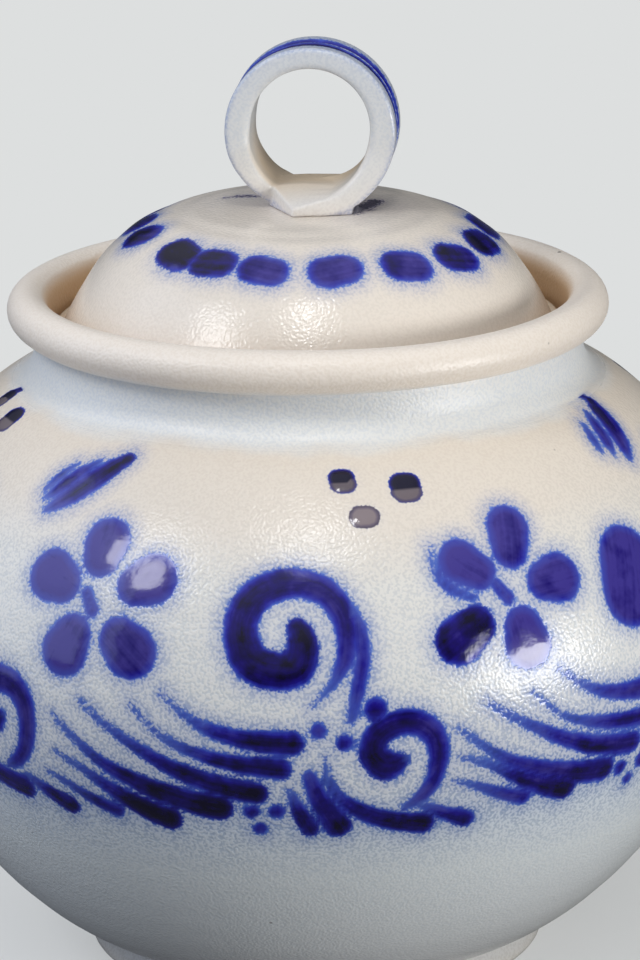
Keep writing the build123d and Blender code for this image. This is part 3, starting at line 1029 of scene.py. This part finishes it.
# %% Cobalt: the colour of a stroke
def cobalt_colour(tree, frayed, load, dryness, streak, pool):
    """The blue of a stroke, by how deep inside it a place is and how much colour lay there."""
    depth = add(tree, "MapRange", {"Value": frayed, "From Min": 0.5, "From Max": -3.2})
    wash = add(tree, "ValToRGB", {"Fac": depth}, stops=wash_cobalt)
    stroke = add(tree, "ValToRGB", {"Fac": depth}, stops=stroke_cobalt)
    pooled = add(tree, "ValToRGB", {"Fac": depth}, stops=pooled_cobalt)
    brown = add(tree, "ValToRGB", {"Fac": depth}, stops=cobalt_sheen_and_shade)
    gathered = add(tree, "Math", {0: pool, 1: 1.6, 2: load}, operation="MULTIPLY_ADD")
    wet = add(tree, "Math", {0: streak, 1: -1.0, 2: gathered}, operation="MULTIPLY_ADD")
    full = add(tree, "MapRange", {"Value": wet, "From Min": 0.55, "From Max": 1.1})
    thick = add(tree, "MapRange", {"Value": wet, "From Min": 1.08, "From Max": 1.55})
    # The heaviest loads turn to the brown-grey ramp: painted reflection on the triplets, painted shadow on
    # the lid's smudges.
    specks_sheen_and_shade = add(tree, "MapRange", {"Value": load, "From Min": 1.7, "From Max": 2.1})
    filled = add(tree, "Mix", {0: full, 6: wash, 7: stroke}, data_type="RGBA", take=2)
    deep = add(tree, "Mix", {0: thick, 6: filled, 7: pooled}, data_type="RGBA", take=2)
    blue = add(tree, "Mix", {0: specks_sheen_and_shade, 6: deep, 7: brown}, data_type="RGBA", take=2)
    dried = add(tree, "Math", {0: dryness, 1: 0.8}, operation="MULTIPLY")
    return add(tree, "Mix", {0: dried, 6: blue, 7: dry_cobalt}, data_type="RGBA", take=2)


# %% [markdown]
# ### One finish for every piece
# The layers are put together as they lie on the pot. The glaze is dimpled by less than a tenth of a
# millimetre, so a highlight breaks up into sparks. Over the cobalt it is glossier and stands up in
# a low dome, with slow waves, so the petals mirror the lamps. On the pot's neck and rim it is drier.

# %% Salt glaze
glass_ior = 1.5
clay_roughness, cobalt_roughness, dry_roughness = 0.23, 0.13, 0.37
dry_over = 8
pool_size = 7.0
dome_rise, wave_rise = 0.3, 0.12
hair_scale = (0.5, 0.04, 0.0)


def glaze_bump(tree, grain, cover, edge, pool, bead_rise):
    """The glaze's relief: beads on the bare clay, a low dome over the cobalt, and slow waves."""
    bare = add(tree, "MapRange", {"Value": cover, "To Min": bead_rise, "To Max": 0.0})
    humps = add(tree, "Math", {0: grain, 1: bare}, operation="MULTIPLY")
    doming = {"Value": edge, "From Min": 0.5, "From Max": -6.0, "To Max": dome_rise}
    dome = add(tree, "MapRange", doming, interpolation_type="SMOOTHSTEP")
    raised = add(tree, "Math", {0: humps, 1: dome}, operation="ADD")
    waves = add(tree, "Math", {0: pool, 1: wave_rise, 2: raised}, operation="MULTIPLY_ADD")
    return add(tree, "Bump", {"Height": waves, "Distance": MM})


def glaze_gloss(tree, place, cover, roughness, dry_from):
    """The glaze's roughness: glassy over the cobalt, and drier above a height in mm, if one is given."""
    if dry_from:
        height = add(tree, "SeparateXYZ", {0: place}, take="Z")
        drying = {"Value": height, "From Min": dry_from * MM, "From Max": (dry_from + dry_over) * MM}
        drying.update({"To Min": roughness, "To Max": dry_roughness})
        roughness = add(tree, "MapRange", drying)
    return add(tree, "MapRange", {"Value": cover, "To Min": roughness, "To Max": cobalt_roughness})


def salt_glaze(name, clay_stops, bead_rise, bite, roughness=clay_roughness, inside=None, dry_from=None):
    """Salt-glazed stoneware with cobalt under the glaze; bead_rise and bite are in mm."""
    material = bpy.data.materials.new(name)
    material.use_nodes = True
    tree = material.node_tree
    tree.nodes.clear()
    place = add(tree, "TexCoord", take="Object")
    edge = add(tree, "Attribute", attribute_name="cobalt_edge", take="Fac")
    dryness = add(tree, "Attribute", attribute_name="dryness", take="Fac")
    brush = add(tree, "Attribute", attribute_name="brush", take="Vector")
    load = add(tree, "SeparateXYZ", {0: brush}, take="Z")
    hairs = add(tree, "VectorMath", {0: brush, 1: hair_scale}, operation="MULTIPLY")
    streak = add(tree, "TexNoise", {"Vector": hairs, "Scale": 1.0, "Detail": 2.0})
    pools = {"Vector": place, "Scale": per_mm(pool_size), "Detail": 3.0, "Roughness": 0.55}
    pool = add(tree, "TexNoise", pools)

    grain = glaze_grain(tree, place, bead_spacing)
    beading = {"Value": grain, "From Min": 0.36, "From Max": 0.58}
    bead = add(tree, "MapRange", beading, interpolation_type="SMOOTHSTEP")
    clay = crept_blue(tree, clay_by_height(tree, place, bead, clay_stops), edge, load, bead)
    if inside:
        indoors = add(tree, "Attribute", attribute_name="indoors", take="Fac")
        clay = add(tree, "Mix", {0: indoors, 6: clay, 7: inside}, data_type="RGBA", take=2)
    frayed = stroke_edge(tree, place, edge, dryness, streak, bite)
    bitten = add(tree, "Math", {0: bead, 1: 0.6 * bite, 2: frayed}, operation="MULTIPLY_ADD")
    covering = {"Value": bitten, "From Min": 0.9 * bite, "From Max": -0.25 * bite}
    cover = add(tree, "MapRange", covering, interpolation_type="SMOOTHSTEP")
    blue = cobalt_colour(tree, frayed, load, dryness, streak, pool)
    colour = add(tree, "Mix", {0: cover, 6: clay, 7: blue}, data_type="RGBA", take=2)

    bump = glaze_bump(tree, grain, cover, edge, pool, bead_rise)
    gloss = glaze_gloss(tree, place, cover, roughness, dry_from)
    surface = {"Base Color": colour, "Roughness": gloss, "IOR": glass_ior, "Normal": bump}
    glaze = add(tree, "BsdfPrincipled", surface)
    add(tree, "OutputMaterial", {"Surface": glaze})
    print(name, len(tree.nodes), "nodes")
    return material


# %% [markdown]
# Each piece's clay is given from its lowest to its highest stop, in mm above the table: first the
# colour of the beads there, then the colour between them.

# %% Finishes
pot_glaze = salt_glaze("salt_glazed_stoneware_pot", [
    (0, "#F2F2F0", "#EEEEED"), (62, "#E9EEEF", "#E0E7EA"), (80, "#D8E0EA", "#B2C0D3"),
    (97, "#E7E8E8", "#CAD1D8"), (140, "#E6E4DF", "#D8D9D8"), (152, "#E6E3DC", "#D6D5D2"),
    (166, "#E8DED1", "#E1D7CA"), (182, "#E9DDCD", "#E5D8C8"), (185, "#EBEAE6", "#E2E3E2"),
    (191, "#ECEDEB", "#E3E6E8"), (198, "#EAEAE8", "#E0E3E5"), (201, "#F5EADD", "#F0E4D5"),
    (215, "#F5EADD", "#F0E4D6"),
], bead_rise=0.155, bite=0.9, inside="#C7A57F", dry_from=181)
lid_glaze = salt_glaze("salt_glazed_stoneware_lid", [
    (186, "#C4AA88", "#BDA381"), (198, "#DFCDB4", "#DAC7AD"), (203, "#EADECF", "#E6D9C9"),
    (216, "#EBE1D4", "#E6DCCF"), (240, "#EADFD2", "#E4DACD"),
], bead_rise=0.13, bite=0.9, roughness=0.19)
handle_glaze = salt_glaze("salt_glazed_stoneware_handle", [
    (232, "#E7DFD6", "#E3DAD0"), (246, "#E5E2DD", "#E0DDD9"), (262, "#E2E2E0", "#DBDDDE"),
    (290, "#E0E3E6", "#D8DCE1"),
], bead_rise=0.05, bite=0.6, inside="#E0CDB3")
# The foot ring's clay is greyer than the belly's: partly its own duller tone, and partly painted shade, for
# it stands in the shade under the belly.
foot_glaze = salt_glaze("salt_glazed_stoneware_foot", [
    (-2, "#D2CCC2", "#C8C0B4"), (4, "#D2D0CC", "#CAC7C2"), (12, "#CBCCCC", "#C4C6C7"),
], bead_rise=0.1, bite=1.0)

# %% Dress the pieces
for piece, glaze, slot, body, node in (
    (pot_body, pot_glaze, "pot_glaze", "pot", "pot_body"),
    (foot_ring, foot_glaze, "foot_glaze", "pot", "foot_ring"),
    (lid, lid_glaze, "lid_glaze", "lid", "lid"),
    (ring_handle, handle_glaze, "handle_glaze", "lid", "ring_handle"),
):
    piece.data.materials.append(glaze)
    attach(piece, body)
    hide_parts(node)
    print(piece.name, "rides on", body)

# %% [markdown]
# ## Floor and light
# The floor is plain and pale, and fades into a background of the same tone, so no edge of it shows.
# To the pot it is a darker grey, because a floor as bright as it looks would light the belly too
# much from below. Only the camera's own rays see it pale.

# %% Floor
backdrop_colour = "#DDDFDF"
floor_grey, floor_pale = "#686868", "#F0F0EE"
floor_half = 4.0
fade_from, fade_to, fade_share = 0.12, 0.8, 0.5
floor_mesh = bmesh.new()
bmesh.ops.create_grid(floor_mesh, x_segments=2, y_segments=2, size=floor_half)
floor_data = bpy.data.meshes.new("floor")
floor_mesh.to_mesh(floor_data)
floor_mesh.free()
floor = bpy.data.objects.new("floor", floor_data)
bpy.context.scene.collection.objects.link(floor)
paper = bpy.data.materials.new("pale_paper")
paper.use_nodes = True
sheet = paper.node_tree
sheet.nodes.clear()
seen = add(sheet, "LightPath")
tone = add(sheet, "Mix", {0: seen, 6: floor_grey, 7: floor_pale}, data_type="RGBA", take=2)
matt = add(sheet, "BsdfPrincipled", {"Base Color": tone, "Roughness": 0.9})
bright = add(sheet, "Emission", {"Color": backdrop_colour, "Strength": 1.0})
spot = add(sheet, "TexCoord", take="Object")
away = add(sheet, "VectorMath", {0: spot}, operation="LENGTH", take="Value")
fading = {"Value": away, "From Min": fade_from, "From Max": fade_to, "To Min": fade_share, "To Max": 1.0}
faded = add(sheet, "MapRange", fading, interpolation_type="SMOOTHSTEP")
even = add(sheet, "Math", {0: seen, 1: faded}, operation="MULTIPLY")
pale = add(sheet, "MixShader", {0: even, 1: matt, 2: bright})
add(sheet, "OutputMaterial", {"Surface": pale})
floor_data.materials.append(paper)
print("floor", 2 * floor_half, "m across")

# %% [markdown]
# Four soft lamps light the pot. A small one stands high in front, so that it glints on the lid and
# the belly. A broad, strong one stands on the right, level with the pot, and the petals mirror it.
# On the left a large panel gives the side a cool light, and a smaller lamp stands higher up.
# The room overhead is pale, and to the sides and below it is dim.

# %% Lamps
lamp_target = Vector((0, 0, 0.14))


def soft_lamp(name, shape, azimuth, elevation, distance, wide, tall, watts, tint="#FFFFFF"):
    """A lamp aimed at the pot, from degrees round (right is positive) and up; sizes are in metres."""
    turn, rise = math.radians(azimuth), math.radians(elevation)
    across = math.cos(rise)
    away = Vector((math.sin(turn) * across, -math.cos(turn) * across, math.sin(rise)))
    data = bpy.data.lights.new(name, "AREA")
    data.shape = shape
    data.size, data.size_y = wide, tall
    data.energy = watts
    data.color = linear(tint)[:3]
    lamp = bpy.data.objects.new(name, data)
    lamp.location = lamp_target + away * distance
    lamp.rotation_euler = away.to_track_quat("Z", "Y").to_euler()
    bpy.context.scene.collection.objects.link(lamp)
    print(name, watts, "W at", tuple(round(c, 2) for c in lamp.location))


soft_lamp("front_lamp", "ELLIPSE", 0, 59, 1.3, 0.22, 0.22, 2.4)
soft_lamp("right_lamp", "ELLIPSE", 56, 2.0, 1.4, 0.76, 0.40, 11.2)
soft_lamp("left_box", "RECTANGLE", -81, 24, 1.4, 1.4, 1.4, 6.6, "#D2E2FF")
soft_lamp("left_lamp", "ELLIPSE", -53, 42, 1.4, 0.44, 0.44, 3.8)

# %% World
brightest_way = (-0.22, -0.13, 0.97)
room_dim, room_pale = "#353A41", "#DBDEE2"
world = bpy.data.worlds.new("studio")
bpy.context.scene.world = world
world.use_nodes = True
studio = world.node_tree
studio.nodes.clear()
seen = add(studio, "LightPath")
way = add(studio, "TexCoord", take="Generated")
towards = add(studio, "VectorMath", {0: way, 1: brightest_way}, operation="DOT_PRODUCT", take="Value")
aloft = add(studio, "MapRange", {"Value": towards, "From Min": 0.16, "From Max": 1.0})
dim = add(studio, "Mix", {0: aloft, 6: room_dim, 7: room_pale}, data_type="RGBA", take=2)
room = add(studio, "Mix", {0: seen, 6: dim, 7: backdrop_colour}, data_type="RGBA", take=2)
sky = add(studio, "Background", {"Color": room, "Strength": 1.0})
add(studio, "OutputWorld", {"Surface": sky})
print("world:", len(studio.nodes), "nodes")

# %% [markdown]
# ## Finish
# The plain view transform shows the colours as they are written.

# %% Finish
bpy.context.scene.view_settings.view_transform = "Standard"
